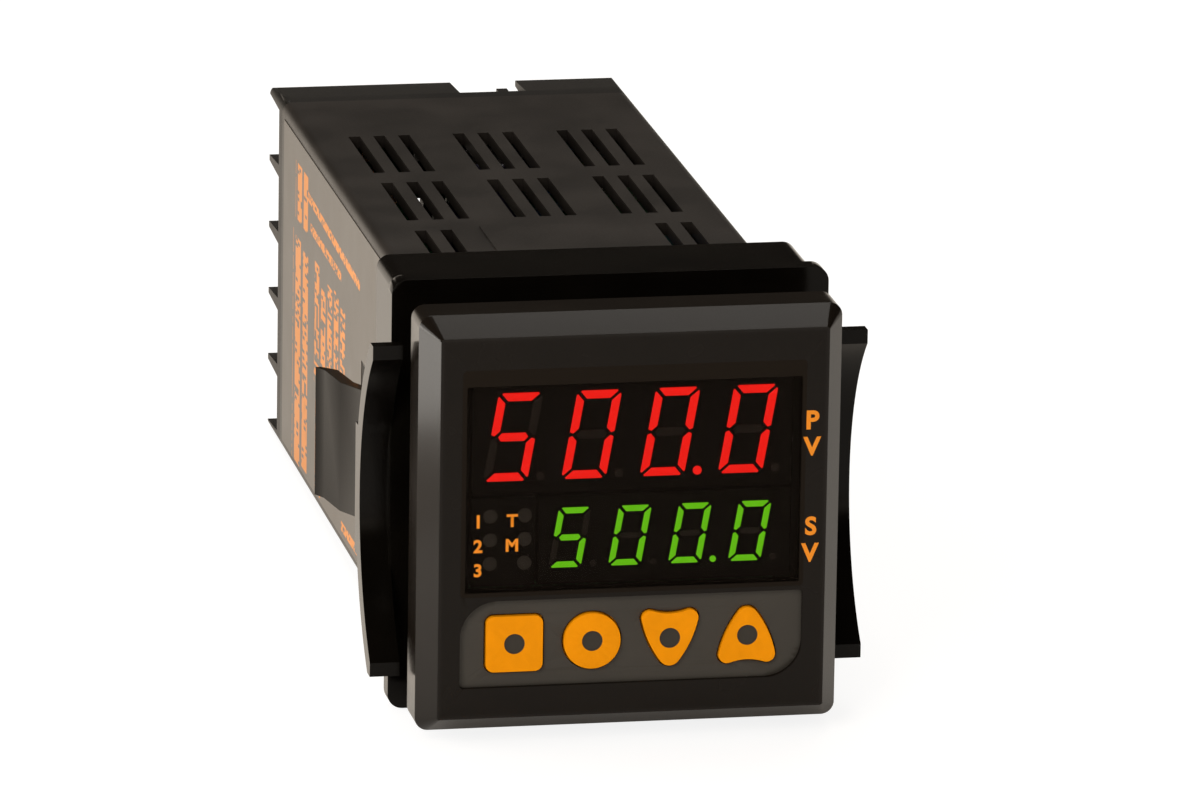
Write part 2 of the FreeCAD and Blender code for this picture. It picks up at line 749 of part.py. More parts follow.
def build_components():
    """Capacitors, relays, processor, fuse and varistor on the boards."""
    board_side = power_board_width / 2
    parts["tall_capacitor"] = standing_can(tall_cap_x, rear_board_y - tall_cap_setback, tall_cap_diameter,
                                           tall_cap_top - power_board_top)
    parts["short_capacitor"] = standing_can(short_cap_inset - board_side, short_cap_y, short_cap_diameter,
                                            short_cap_height)
    parts["fuse"] = standing_can(fuse_x, fuse_y, fuse_diameter, fuse_height)
    parts["film_capacitor"] = standing_block(film_cap_inset - board_side, film_cap_y, film_cap_width,
                                             film_cap_length, film_cap_height)
    parts["varistor"] = standing_block(board_side - varistor_inset, rear_board_y - varistor_setback,
                                       varistor_width, varistor_thickness, varistor_height)
    relays = [box(side_board_x - relay_height, side_board_x, relay_y - relay_length / 2,
                  relay_y + relay_length / 2, z - relay_width / 2, z + relay_width / 2)
              for z in (relay_z, relay_z - relay_width - relay_gap)]
    parts["relays"] = Part.makeCompound(relays)
    parts["microcontroller"] = box(side_board_x - chip_thickness, side_board_x, chip_y - chip_size / 2,
                                   chip_y + chip_size / 2, -chip_size / 2, chip_size / 2)


parts["front_bezel"] = build_bezel()
parts["display_window"] = window_prism(0.0, front_y, front_y + window_thickness)
parts["key_panel"] = build_key_panel()
build_keys()
parts["switch_bodies"] = build_switches()
build_display()
parts["case_sleeve"] = build_case()
parts["side_label"] = build_label()
parts["mounting_frame"] = build_frame()
parts["terminal_block"] = build_terminal_block()
build_terminals()
build_boards()
build_transformer()
build_components()

os.makedirs("parts", exist_ok=True)
for name, shape in parts.items():
    shape.exportStep("parts/" + name + ".step")
    print(name, "solids", len(shape.Solids), "valid", shape.isValid(), "volume", round(shape.Volume, 1))
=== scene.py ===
"""Visual model of a panel mounted temperature controller with its sliding mounting frame.

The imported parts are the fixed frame. Moulded parts are shown as merged copies with rounded edges,
new pieces are surfaces worked out on grids, and every finish is procedural.
"""
import logging
import math
from dataclasses import dataclass
from enum import Enum
from typing import Any, Callable, Dict, Optional, Sequence, Tuple, Union

import bmesh
import bpy
import numpy as np
from mathutils import Matrix, Vector


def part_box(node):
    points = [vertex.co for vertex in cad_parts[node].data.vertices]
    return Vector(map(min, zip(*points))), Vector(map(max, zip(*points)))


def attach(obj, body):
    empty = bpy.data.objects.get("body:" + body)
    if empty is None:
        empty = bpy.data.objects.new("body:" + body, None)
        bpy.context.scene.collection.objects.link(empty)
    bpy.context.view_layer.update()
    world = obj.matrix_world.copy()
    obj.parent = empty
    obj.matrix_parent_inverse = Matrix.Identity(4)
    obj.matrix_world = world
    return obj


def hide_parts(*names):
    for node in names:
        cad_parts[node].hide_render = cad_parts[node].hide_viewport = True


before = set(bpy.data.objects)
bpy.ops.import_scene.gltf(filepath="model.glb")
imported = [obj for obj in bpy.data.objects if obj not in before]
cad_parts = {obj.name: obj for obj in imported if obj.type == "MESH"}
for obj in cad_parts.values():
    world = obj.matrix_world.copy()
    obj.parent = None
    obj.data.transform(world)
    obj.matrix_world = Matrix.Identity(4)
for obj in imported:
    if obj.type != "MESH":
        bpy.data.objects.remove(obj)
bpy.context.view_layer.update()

LOG = logging.getLogger("controller")
MM = 0.001
HOUSING = "controller"
FRAME_BODY = "panel_frame"
PATCH = 9.0  # size in millimetres of slow changes of tone
CLOUD = (0.3, 0.7)  # noise values between which a tone changes
TURN_PITCH = 0.55  # of the coil's wire, in millimetres
SHARP_TURN = 32.0  # edges that turn by more degrees are rounded
SAME_POINT = 1e-7  # metres within which two new points are one
AIM = (0.0, 0.03, 0.0)  # where the studio's lamps point, in metres
LIT_BARS = {"5": "afgcd", "0": "abcdef"}
WHITE = (1.0, 1.0, 1.0)
Pair = Tuple[float, float]
Triple = Tuple[float, float, float]
Colour = Triple
Number = Union[float, "Signal"]
Inputs = Dict[Any, Any]
Array = np.ndarray
Piece = bpy.types.Object
Material = bpy.types.Material


class KeyShape(Enum):
    """The four keys, from left to right."""

    SQUARE = "square"
    CIRCLE = "circle"
    DOWN = "down"
    UP = "up"


# Shader maths


def maths(operation: str) -> Callable[..., "Signal"]:
    """A method of Signal that adds one Math node over this value and any others."""
    def method(self: "Signal", *others: Number) -> "Signal":
        """The operation's result."""
        values = dict(enumerate((self, *others)))
        return self.graph.value("Math", values, operation=operation)
    return method


@dataclass(frozen=True)
class Signal:
    """A value socket of a material, so that shader maths reads as plain expressions.

    A comparison gives 1 where it holds and 0 elsewhere.
    """

    graph: "Graph"
    socket: Any

    __add__ = __radd__ = maths("ADD")
    __sub__ = maths("SUBTRACT")
    __mul__ = maths("MULTIPLY")
    __truediv__ = maths("DIVIDE")
    __abs__ = maths("ABSOLUTE")
    __lt__ = maths("LESS_THAN")
    __gt__ = maths("GREATER_THAN")
    root = maths("SQRT")
    least = maths("MINIMUM")
    most = maths("MAXIMUM")
    whole = maths("FLOOR")
    part = maths("FRACT")

    def __rsub__(self, other: float) -> "Signal":
        """A plain number less this value."""
        return self.graph.value("Math", {0: other, 1: self}, operation="SUBTRACT")

    def ramp(self, low: float, high: float, start: float = 0.0, end: float = 1.0) -> "Signal":
        """Smooth step: start below low, end above high, an S-curve between."""
        limits = {"Value": self, "From Min": low, "From Max": high, "To Min": start, "To Max": end}
        return self.graph.value("MapRange", limits, interpolation_type="SMOOTHSTEP")


class Graph:
    """The node tree of one material or of the world."""

    def __init__(self, owner: Union[Material, bpy.types.World]) -> None:
        """Starts with an empty tree of that owner."""
        owner.use_nodes = True
        self.owner = owner
        self.tree = owner.node_tree
        self.tree.nodes.clear()

    def node(self, kind: str, inputs: Optional[Inputs] = None, **settings: Any) -> bpy.types.Node:
        """Adds any node.

        Args:
            kind: The node's type name after ShaderNode.
            inputs: Socket name or number to a value, a colour, a socket or a Signal.
            settings: Properties of the node, set before its sockets.

        Returns:
            The new node.
        """
        made = self.tree.nodes.new("ShaderNode" + kind)
        for key, value in settings.items():
            setattr(made, key, value)
        for key, value in (inputs or {}).items():
            value = value.socket if isinstance(value, Signal) else value
            if isinstance(value, bpy.types.NodeSocket):
                self.tree.links.new(value, made.inputs[key])
            else:
                colour = made.inputs[key].type == "RGBA"
                made.inputs[key].default_value = (*value, 1.0) if colour else value
        return made

    def value(self, kind: str, inputs: Optional[Inputs] = None, output: Union[str, int] = 0,
              **settings: Any) -> Signal:
        """Adds a node and returns one of its outputs as a Signal."""
        return Signal(self, self.node(kind, inputs, **settings).outputs[output])

    def place(self) -> Tuple[Signal, Signal, Signal]:
        """The point on the piece in millimetres, as x, y and z."""
        coordinates = self.node("TexCoord").outputs["Object"]
        split = self.node("SeparateXYZ", {0: coordinates})
        return tuple(Signal(self, split.outputs[i]) * (1 / MM) for i in range(3))

    def ray(self, kind: str) -> Signal:
        """1 for camera, glossy or transmission rays as named, 0 for the others."""
        return self.value("LightPath", output="Is %s Ray" % kind)

    def random(self, *parts: Number) -> Signal:
        """Random value from 0 to 1, the same wherever the three parts are the same."""
        key = self.node("CombineXYZ", dict(enumerate(parts))).outputs[0]
        return self.value("TexWhiteNoise", {"Vector": key}, noise_dimensions="3D")

    def noise(self, size: float, detail: float = 3.0, stretch: Triple = (1.0, 1.0, 1.0)) -> Signal:
        """Soft noise from 0 to 1.

        Args:
            size: Size of one patch in millimetres.
            detail: Number of finer layers.
            stretch: How much longer the patches are along x, y and z.

        Returns:
            The noise value.
        """
        coordinates = self.node("TexCoord").outputs["Object"]
        scale = tuple(1.0 / (size * MM * s) for s in stretch)
        scaled = self.node("Mapping", {"Vector": coordinates, "Scale": scale})
        return self.value("TexNoise", {"Vector": scaled.outputs[0], "Scale": 1.0, "Detail": detail})

    def mix(self, factor: Number, first: Any, second: Any) -> Any:
        """Colour between two colours or colour sockets, by the factor."""
        return self.node("Mix", {0: factor, 6: first, 7: second}, data_type="RGBA").outputs[2]

    def bump(self, height: Signal, depth: float) -> Any:
        """Normal of a relief whose height runs from 0 to 1 over a depth in millimetres."""
        relief = {"Height": height, "Distance": depth * MM, "Strength": 1.0}
        return self.node("Bump", relief).outputs[0]

    def finish(self, inputs: Inputs) -> Material:
        """Closes the tree with one surface shader.

        Args:
            inputs: Names of its sockets, with _ for a space, to values or sockets.

        Returns:
            The material.
        """
        named = {key.replace("_", " "): value for key, value in inputs.items()}
        shader = self.node("BsdfPrincipled", named)
        self.node("OutputMaterial", {"Surface": shader.outputs[0]})
        return self.owner


# Finishes


@dataclass(frozen=True)
class Finish:
    """A finish by its name. Each kind says in shade what its surface shader gets."""

    name: str

    def shade(self, graph: Graph) -> Inputs:
        """Inputs of the surface shader, with _ for a space in a socket's name."""
        raise NotImplementedError

    def material(self) -> Material:
        """Builds the material."""
        graph = Graph(bpy.data.materials.new(self.name))
        return graph.finish(self.shade(graph))


@dataclass(frozen=True)
class Moulding(Finish):
    """Moulded plastic: slow tone changes, fine grain, uneven gloss. No depth means no relief."""

    colour: Colour
    tone: float = 0.25
    roughness: float = 0.35
    spread: float = 0.12
    grain: float = 0.35
    depth: float = 0.006
    specular: float = 0.5
    coat: float = 0.0

    def shade(self, graph: Graph) -> Inputs:
        """Tone follows the slow noise, gloss both noises and the relief the fine one."""
        slow, fine = graph.noise(PATCH), graph.noise(self.grain, 2.0)
        dark = tuple(c * (1 - self.tone) for c in self.colour)
        light = tuple(min(1.0, c * (1 + self.tone)) for c in self.colour)
        rough = self.roughness + (slow * 0.6 + fine * 0.4 - 0.5) * (2 * self.spread)
        relief = {"Normal": graph.bump(fine, self.depth)} if self.depth else {}
        return dict(Base_Color=graph.mix(slow.ramp(*CLOUD), dark, light), Roughness=rough,
                    Specular_IOR_Level=self.specular, Coat_Weight=self.coat, **relief)


@dataclass(frozen=True)
class Metal(Finish):
    """Plated or rolled metal with fine scratches along one direction."""

    colour: Colour
    roughness: float = 0.28
    scratch: float = 0.12
    run: Triple = (1.0, 1.0, 8.0)
    stain: float = 2.2
    dull: float = 0.72

    def shade(self, graph: Graph) -> Inputs:
        """Stains dull the colour, scratches change gloss and relief."""
        scratches = graph.noise(self.scratch, 4.0, self.run)
        stained = graph.noise(self.stain).ramp(0.35, 0.75)
        dull = tuple(c * self.dull for c in self.colour)
        return dict(Base_Color=graph.mix(stained, dull, self.colour), Metallic=1.0,
                    Roughness=self.roughness + (scratches - 0.5) * 0.3,
                    Normal=graph.bump(scratches, 0.004))


@dataclass(frozen=True)
class Glow(Finish):
    """A segment that gives light evenly, slightly deeper in colour at patches."""

    colour: Colour
    strength: float

    def shade(self, graph: Graph) -> Inputs:
        """Only the light has colour."""
        patch = graph.noise(0.8, 2.0)
        deep = tuple(c * 0.86 for c in self.colour)
        return dict(Base_Color=(0.02, 0.02, 0.02), Roughness=0.5,
                    Emission_Color=graph.mix(patch, deep, self.colour),
                    Emission_Strength=self.strength)


@dataclass(frozen=True)
class SmokedWindow(Finish):
    """Smoked clear lens, paler in its moulded border round the view opening, with no gloss."""

    name: str = "smoked_lens"
    view: Tuple[float, float, float, float] = (-19.0, 19.0, -7.4, 16.4)
    smoke: Colour = (0.0105, 0.008, 0.0062)
    border: Colour = (0.0165, 0.013, 0.0102)
    opacity: float = 0.4
    patch: float = 14.0

    def shade(self, graph: Graph) -> Inputs:
        """The border is where x or z leaves the view opening."""
        x, _, z = graph.place()
        left, right, low, high = self.view
        outside = (x < left).most(x > right).most((z < low).most(z > high))
        cloud = graph.noise(self.patch)
        opacity = outside.most(self.opacity + (cloud - 0.5) * 0.04)
        return dict(Base_Color=graph.mix(outside, self.smoke, self.border), Alpha=opacity,
                    Roughness=0.30 + cloud * 0.06, Specular_IOR_Level=0.0)


@dataclass(frozen=True)
class KeyRubber(Finish):
    """Orange key skin with a dark grey dot in the middle of each key."""

    centre: Pair
    dot: float = 1.17
    soft: float = 0.04
    orange: Colour = (1.0, 0.345, 0.0008)
    grey: Colour = (0.052, 0.047, 0.041)

    def shade(self, graph: Graph) -> Inputs:
        """The dot is where the distance from the middle is under its radius."""
        x, _, z = graph.place()
        dx, dz = x - self.centre[0], z - self.centre[1]
        distance = (dx * dx + dz * dz).root()
        inside = 1.0 - distance.ramp(self.dot - self.soft, self.dot + self.soft)
        fine = graph.noise(0.2, 2.0)
        deep = tuple(c * 0.93 for c in self.orange)
        skin = graph.mix(graph.noise(3.0).ramp(*CLOUD), deep, self.orange)
        return dict(Base_Color=graph.mix(inside, skin, self.grey), Roughness=0.46 + fine * 0.1,
                    Specular_IOR_Level=0.08, Normal=graph.bump(fine, 0.003))


@dataclass(frozen=True)
class PrintBlock:
    """A patch of small print: its box on the sheet, its line pitch and the way its lines run.

    Fill is the share of inked strokes, edge by how much a line's ends can fall short of the box.
    """

    y: Pair
    z: Pair
    pitch: float
    down: bool = True
    slope: float = 0.0
    fill: float = 0.6
    edge: float = 0.0


@dataclass(frozen=True)
class PrintedSheet(Finish):
    """Dark grey sheet with patches of small orange print, too small to be read.

    Stroke is the length of a letter's cell, steps are the cells across a line's pitch, tall is
    the line's share of it, and first keeps the line numbers above zero.
    """

    name: str = "printed_sheet"
    ground: Colour = (0.093, 0.081, 0.069)
    ink: Colour = (0.66, 0.205, 0.004)
    stroke: float = 0.42
    steps: float = 4.0
    tall: float = 0.72
    first: float = 20.0
    blocks: Tuple[PrintBlock, ...] = (
        PrintBlock((85.5, 96.5), (-20.5, 8.6), 5.4, fill=0.78, edge=1.2),
        PrintBlock((86.0, 95.0), (10.2, 17.2), 4.4, fill=0.9),
        PrintBlock((49.0, 86.0), (14.4, 16.0), 1.6, down=False, slope=0.045, fill=0.8),
        PrintBlock((62.0, 84.0), (11.0, 12.6), 1.6, down=False, slope=0.02, fill=0.75),
        PrintBlock((59.0, 82.0), (-7.5, 9.6), 4.6, fill=0.62, edge=3.4),
        PrintBlock((75.6, 80.2), (-19.6, -8.4), 2.3, fill=0.7),
        PrintBlock((47.5, 60.5), (-19.2, -17.6), 1.6, down=False, fill=0.85))

    def block(self, graph: Graph, y: Signal, z: Signal, box: PrintBlock, seed: float) -> Signal:
        """Print of one patch: line bands cut into letters by stepped noise, ends ragged."""
        level = z - (y - box.y[1]) * box.slope
        along, across = (level, y) if box.down else (y, level)
        (low, high), (foot, _) = (box.z, box.y) if box.down else (box.y, box.z)
        line = (across - foot) / box.pitch + self.first
        ragged = graph.random(line.whole(), seed, 0.5)
        step = (across / (box.pitch / self.steps)).whole()
        letter = graph.random((along / self.stroke).whole(), step, seed)
        inside = (abs(y - sum(box.y) / 2) < (box.y[1] - box.y[0]) / 2) * (
            abs(level - sum(box.z) / 2) < (box.z[1] - box.z[0]) / 2)
        ends = abs(along - (low + high) / 2) < ((high - low) / 2 - ragged * box.edge)
        return inside * ends * (line.part() < self.tall) * (letter < box.fill)

    def shade(self, graph: Graph) -> Inputs:
        """The largest of all the patches' print, slightly worn."""
        _, y, z = graph.place()
        printed = self.block(graph, y, z, self.blocks[0], 1.0)
        for index, box in enumerate(self.blocks[1:], start=2):
            printed = printed.most(self.block(graph, y, z, box, float(index)))
        blot = graph.noise(6.0)
        worn = printed * (1.0 - blot.ramp(0.62, 0.8) * 0.35)
        ground = graph.mix(blot.ramp(*CLOUD), tuple(c * 0.88 for c in self.ground), self.ground)
        return dict(Base_Color=graph.mix(worn, ground, self.ink), Roughness=0.33 + blot * 0.12,
                    Specular_IOR_Level=0.45, Normal=graph.bump(graph.noise(0.5, 2.0), 0.004))


@dataclass(frozen=True)
class Laminate(Finish):
    """Circuit board: green mask with tracks and pads."""

    name: str = "circuit_laminate"
    mask: Colour = (0.012, 0.09, 0.035)
    track: Colour = (0.03, 0.17, 0.06)
    solder: Colour = (0.62, 0.60, 0.55)
    bands: float = 9.0
    broad: float = 0.16
    grid: float = 2.54
    pad: float = 0.55

    def shade(self, graph: Graph) -> Inputs:
        """Tracks follow the bands of a noise, pads are round dots on the grid."""
        x, y, z = graph.place()
        bands = graph.noise(3.0, 1.0, (1.0, 4.0, 1.0)) * self.bands
        tracks = abs(bands.part() - 0.5) < self.broad
        u, v, w = (abs((axis / self.grid).part() - 0.5) * self.grid for axis in (x, y, z))
        near = (u * u + v * v).root().least((v * v + w * w).root())
        pads = (near < self.pad) * (graph.noise(5.0) > 0.52)
        green = graph.mix(tracks, self.mask, self.track)
        return dict(Base_Color=graph.mix(pads, green, self.solder), Metallic=pads * 0.9,
                    Roughness=0.34 - pads * 0.1, Normal=graph.bump(tracks.most(pads), 0.03))


@dataclass(frozen=True)
class Banded(Finish):
    """Stack or winding: thin bands across one axis."""

    dark: Colour
    light: Colour
    axis: int
    pitch: float
    metallic: float = 0.0
    roughness: float = 0.45

    def shade(self, graph: Graph) -> Inputs:
        """Each band is a triangle wave along the axis, mixed with noise."""
        along = graph.place()[self.axis]
        wave = abs((along / self.pitch).part() - 0.5) * 2.0
        noise = graph.noise(1.2)
        tone = (wave * 0.7 + noise * 0.5).ramp(0.2, 1.0)
        return dict(Base_Color=graph.mix(tone, self.dark, self.light), Metallic=self.metallic,
                    Roughness=self.roughness + noise * 0.15, Normal=graph.bump(wave, 0.05))


@dataclass(frozen=True)
class CanSleeve(Finish):
    """Capacitor can: dark sleeve with a pale stripe and a bare aluminium top scored by a cross."""

    centre: Pair
    radius: float
    top: float
    sleeve: Colour = (0.030, 0.024, 0.060)
    metal: Colour = (0.80, 0.76, 0.76)
    stripe: Colour = (0.55, 0.55, 0.58)
    bare: float = 0.87
    broad: float = 0.22
    score: float = 0.16

    def shade(self, graph: Graph) -> Inputs:
        """Metal inside the rim at the top, a stripe on one side of the can."""
        x, y, z = graph.place()
        dx, dy = x - self.centre[0], y - self.centre[1]
        bare = (z > self.top - 1.0) * ((dx * dx + dy * dy).root() < self.radius * self.bare)
        stripe = (abs(dy) < self.radius * self.broad) * (dx < 0.0)
        cross = (abs(dx) < self.score).most(abs(dy) < self.score) * bare
        colour = graph.mix(stripe, self.sleeve, self.stripe)
        return dict(Base_Color=graph.mix(bare, colour, self.metal), Metallic=bare * 0.95,
                    Roughness=0.3 + graph.noise(0.6) * 0.12,
                    Normal=graph.bump(1.0 - cross, 0.12))


@dataclass(frozen=True)
class BezelPlastic(Finish):
    """Satin black moulding, glossier on the bevels that run round its face."""

    name: str = "bezel_black"
    colour: Colour = (0.007, 0.0051, 0.0037)
    face_half: float = 21.4
    roughness: float = 0.26
    bevel_coat: float = 0.22

    def shade(self, graph: Graph) -> Inputs:
        """The coat grows where x or z is further out than the flat face."""
        x, _, z = graph.place()
        bevel = abs(x).most(abs(z)).ramp(self.face_half, self.face_half + 0.8)
        slow, fine = graph.noise(PATCH), graph.noise(0.3, 2.0)
        light = tuple(c * 1.2 for c in self.colour)
        return dict(Base_Color=graph.mix(slow.ramp(*CLOUD), self.colour, light),
                    Roughness=self.roughness + (slow - 0.5) * 0.16 - bevel * 0.06,
                    Coat_Weight=bevel * self.bevel_coat, Coat_Roughness=0.12,
                    Specular_IOR_Level=0.15, Normal=graph.bump(fine, 0.003))


def finishes() -> Dict[str, Finish]:
    """The finishes that the sub-assemblies ask for, by name."""
    kinds = [
        BezelPlastic(),
        Moulding("frame_black", (0.0028, 0.0022, 0.0016), roughness=0.15, spread=0.05,
                 specular=0.13, grain=0.6, depth=0.002),
        Moulding("case_black", (0.017, 0.014, 0.0118), roughness=0.40, specular=0.3, grain=0.22,
                 depth=0.012),
        Moulding("terminal_black", (0.0075, 0.0064, 0.0052), roughness=0.45, specular=0.25,
                 grain=0.25, depth=0.012),
        Moulding("key_panel_grey", (0.048, 0.0435, 0.037), tone=0.07, roughness=0.4, specular=0.3),
        Moulding("display_filter", (0.0085, 0.0064, 0.0048), tone=0.08, roughness=0.5, spread=0.03,
                 grain=1.6, depth=0.0, specular=0.12),
        Moulding("unlit_segment", (0.062, 0.048, 0.039), tone=0.05, roughness=0.5, specular=0.15),
        Moulding("lamp_off", (0.13, 0.112, 0.093), tone=0.05, roughness=0.4, specular=0.2),
        Moulding("switch_black", (0.018, 0.018, 0.018), roughness=0.4),
        Moulding("relay_blue", (0.012, 0.065, 0.20), roughness=0.35),
        Moulding("film_red", (0.28, 0.018, 0.010), roughness=0.25, coat=0.4),
        Moulding("varistor_blue", (0.02, 0.12, 0.30), roughness=0.25, coat=0.4),
        Moulding("chip_epoxy", (0.014, 0.014, 0.015), roughness=0.5, grain=0.1),
        Moulding("header_cream", (0.60, 0.53, 0.38), roughness=0.45),
        Moulding("legend_orange", (0.95, 0.3, 0.012), tone=0.05, roughness=0.45, specular=0.3),
        Metal("zinc_steel", (0.62, 0.62, 0.60)),
        Metal("tinned_brass", (0.66, 0.60, 0.44)),
        Glow("red_light", (0.98, 0.008, 0.004), 2.45),
        Glow("green_light", (0.17, 0.68, 0.004), 1.95),
        SmokedWindow(),
        PrintedSheet(),
        Laminate(),
        Banded("core_steel", (0.05, 0.05, 0.05), (0.22, 0.21, 0.20), 1, 0.5, 0.7),
        Banded("copper_turns", (0.20, 0.065, 0.018), (0.60, 0.24, 0.07), 2, TURN_PITCH, 0.6, 0.3),
    ]
    return {kind.name: kind for kind in kinds}


class Palette:
    """Builds each finish once, when a piece first asks for it."""

    def __init__(self) -> None:
        """Starts with no material built."""
        self.finishes = finishes()
        self.built: Dict[str, Material] = {}

    def get(self, name: str) -> Material:
        """The material of that finish name."""
        if name not in self.built:
            self.built[name] = self.finishes[name].material()
        return self.built[name]

    def dress(self, obj: Piece, material: Union[str, Material]) -> None:
        """Gives an object one material in place of any it has."""
        found = self.get(material) if isinstance(material, str) else material
        obj.data.materials.clear()
        obj.data.materials.append(found)


# Mesh tools


def linked(name: str, data: bpy.types.ID) -> Piece:
    """Makes an object of that data and puts it in the scene."""
    made = bpy.data.objects.new(name, data)
    bpy.context.scene.collection.objects.link(made)
    return made


def merge(mesh: bpy.types.Mesh, distance: float, new: bool = False) -> None:
    """Merges points nearer than the distance; a new mesh also gets its faces outwards."""
    tidy = bmesh.new()
    tidy.from_mesh(mesh)
    bmesh.ops.remove_doubles(tidy, verts=tidy.verts, dist=distance)
    if new:
        bmesh.ops.dissolve_degenerate(tidy, edges=tidy.edges, dist=distance / 10)
        bmesh.ops.recalc_face_normals(tidy, faces=tidy.faces)
    tidy.to_mesh(mesh)
    tidy.free()
    mesh.shade_smooth()


def mesh_object(name: str, points: Array, faces: Array) -> Piece:
    """Makes an object from whole arrays.

    Args:
        name: Name of the piece.
        points: Points in millimetres, one row each.
        faces: Point numbers of each four-sided face, one row each.

    Returns:
        The object, smooth shaded, with its doubled points merged and its faces outwards.
    """
    mesh = bpy.data.meshes.new(name)
    mesh.from_pydata((np.asarray(points) * MM).tolist(), [], np.asarray(faces).tolist())
    merge(mesh, SAME_POINT, new=True)
    return linked(name, mesh)


def grid_faces(rows: int, columns: int) -> Array:
    """Four-sided faces of closed rows of points stored row by row.

    Args:
        rows: Number of rows of points.
        columns: Number of points in a row.

    Returns:
        Point numbers, one face per row.
    """
    row = np.arange(rows - 1)[:, None]
    column = np.arange(columns)[None, :]
    following = (column + 1) % columns
    faces = np.stack([row * columns + column, row * columns + following,
                      (row + 1) * columns + following, (row + 1) * columns + column], axis=-1)
    return faces.reshape(-1, 4)


def carried(profile: Array, ring: Array) -> Array:
    """Points of a profile carried round a ring.

    Point (k, j) lies at ring point j scaled by the profile's reach k, and at its height k.

    Args:
        profile: Reach and height of each row, from the first cap's middle to the last cap's middle.
        ring: Closed outline in the plane, one row for each point.

    Returns:
        Points row by row, the height in the third place.
    """
    flat = profile[:, :1, None] * ring
    height = np.broadcast_to(profile[:, 1:, None], (*flat.shape[:2], 1))
    return np.concatenate([flat, height], axis=2).reshape(-1, 3)


def circle(count: int) -> Array:
    """Points of the unit circle: cosine and sine of evenly spaced angles."""
    angle = np.linspace(0.0, 2 * np.pi, count, endpoint=False)
    return np.stack([np.cos(angle), np.sin(angle)], axis=1)


def rounded_copy(node: str, width: float, segments: int) -> Piece:
    """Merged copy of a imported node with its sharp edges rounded.

    Args:
        node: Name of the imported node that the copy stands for.
        width: Width of the rounding in millimetres.
        segments: Faces across each rounding.

    Returns:
        The copy, not yet riding on a body.
    """
    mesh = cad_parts[node].data.copy()
    mesh.name = node + "_moulded"
    merge(mesh, 2 * SAME_POINT)
    made = linked(mesh.name, mesh)
    bevel = made.modifiers.new("rounding", "BEVEL")
    bevel.width = width * MM
    bevel.segments = segments
    bevel.limit_method = "ANGLE"
    bevel.angle_limit = math.radians(SHARP_TURN)
    bevel.use_clamp_overlap = True
    bevel.miter_outer = "MITER_ARC"
    normals = made.modifiers.new("flat_faces", "WEIGHTED_NORMAL")
    normals.mode = "FACE_AREA"
    normals.weight = 100
    return made


@dataclass
class Workshop:
    """What every sub-assembly needs to finish its pieces."""

    palette: Palette

    def fit(self, obj: Piece, body: str, finish: Union[str, Material],
            replaces: Sequence[str] = ()) -> Piece:
        """Dresses a new piece, lets it ride on its body and hides the imported nodes that it stands
        for.
        """
        self.palette.dress(obj, finish)
        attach(obj, body)
        if replaces:
            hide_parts(*replaces)
        LOG.info("piece %s on %s", obj.name, body)
        return obj

    def coat(self, node: str, finish: str) -> None:
        """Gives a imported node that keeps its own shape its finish."""
        self.palette.dress(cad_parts[node], finish)
        LOG.info("node %s coated", node)

    def round_off(self, node: str, body: str, finish: Union[str, Material],
                  width: float, segments: int = 2) -> Piece:
        """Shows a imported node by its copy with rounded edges."""
        return self.fit(rounded_copy(node, width, segments), body, finish, [node])


# Sub-assemblies


@dataclass
class Front:
    """Bezel, key panel and lens."""

    rounding: float = 0.14
    panel_rounding: float = 0.08

    def build(self, shop: Workshop) -> None:
        """Builds and dresses the front."""
        shop.round_off("front_bezel", HOUSING, "bezel_black", self.rounding)
        shop.round_off("key_panel", HOUSING, "key_panel_grey",
                       self.panel_rounding)
        shop.coat("display_window", "smoked_lens")


@dataclass
class Legends:
    """Plain function marks beside the display: text, x, z and height of each."""

    face_y: float = -8.0
    height: float = 0.02
    weight: float = 0.034
    marks: Tuple[Tuple[str, float, float, float], ...] = (
        ("1", -17.6, 0.9, 1.55), ("2", -17.6, -1.95, 1.55), ("3", -17.6, -4.75, 1.55),
        ("T", -13.75, 0.9, 1.5), ("M", -13.75, -1.95, 1.5),
        ("P", 20.25, 11.3, 2.2), ("V", 20.2, 8.25, 2.2),
        ("S", 20.25, -1.0, 2.2), ("V", 20.2, -4.1, 2.2))

    def mark(self, index: int, text: str, x: float, z: float, size: float) -> Piece:
        """One mark as a thin mesh centred on x and z, standing just proud of the face."""
        name = "legend_%d" % (index + 1)
        curve = bpy.data.curves.new(name, "FONT")
        curve.body = text
        curve.align_x, curve.align_y = "CENTER", "CENTER"
        curve.offset = self.weight
        curve.resolution_u = 6
        loose = linked(name + "_text", curve)
        bpy.context.view_layer.update()
        drawn = loose.evaluated_get(bpy.context.evaluated_depsgraph_get())
        mesh = bpy.data.meshes.new_from_object(drawn)
        bpy.data.objects.remove(loose)
        points = np.empty((len(mesh.vertices), 3))
        mesh.vertices.foreach_get("co", points.ravel())
        low, high = points.min(0), points.max(0)
        flat = (points - (low + high) / 2) * (size / (high[1] - low[1]))
        placed = np.stack([x + flat[:, 0], np.full(len(flat), self.face_y - self.height),
                           z + flat[:, 1]], axis=1) * MM
        mesh.vertices.foreach_set("co", placed.ravel())
        mesh.update()
        return linked(name, mesh)

    def build(self, shop: Workshop) -> None:
        """Builds and dresses the marks."""
        for index, mark in enumerate(self.marks):
            shop.fit(self.mark(index, *mark), HOUSING, "legend_orange")


@dataclass(frozen=True)
class DigitRow:
    """One row of slanted seven-segment digits: centre-line half sizes, bar thickness and gaps.

    The dot offset is its x from the digit's middle, then its radius.
    """

    name: str
    finish: str
    first: float
    pitch: float
    middle_z: float
    half_width: float
    half_height: float
    bar: float
    gap: float
    text: str = "500.0"
    slant: float = 0.171
    dot_offset: Pair = (3.95, 0.5)


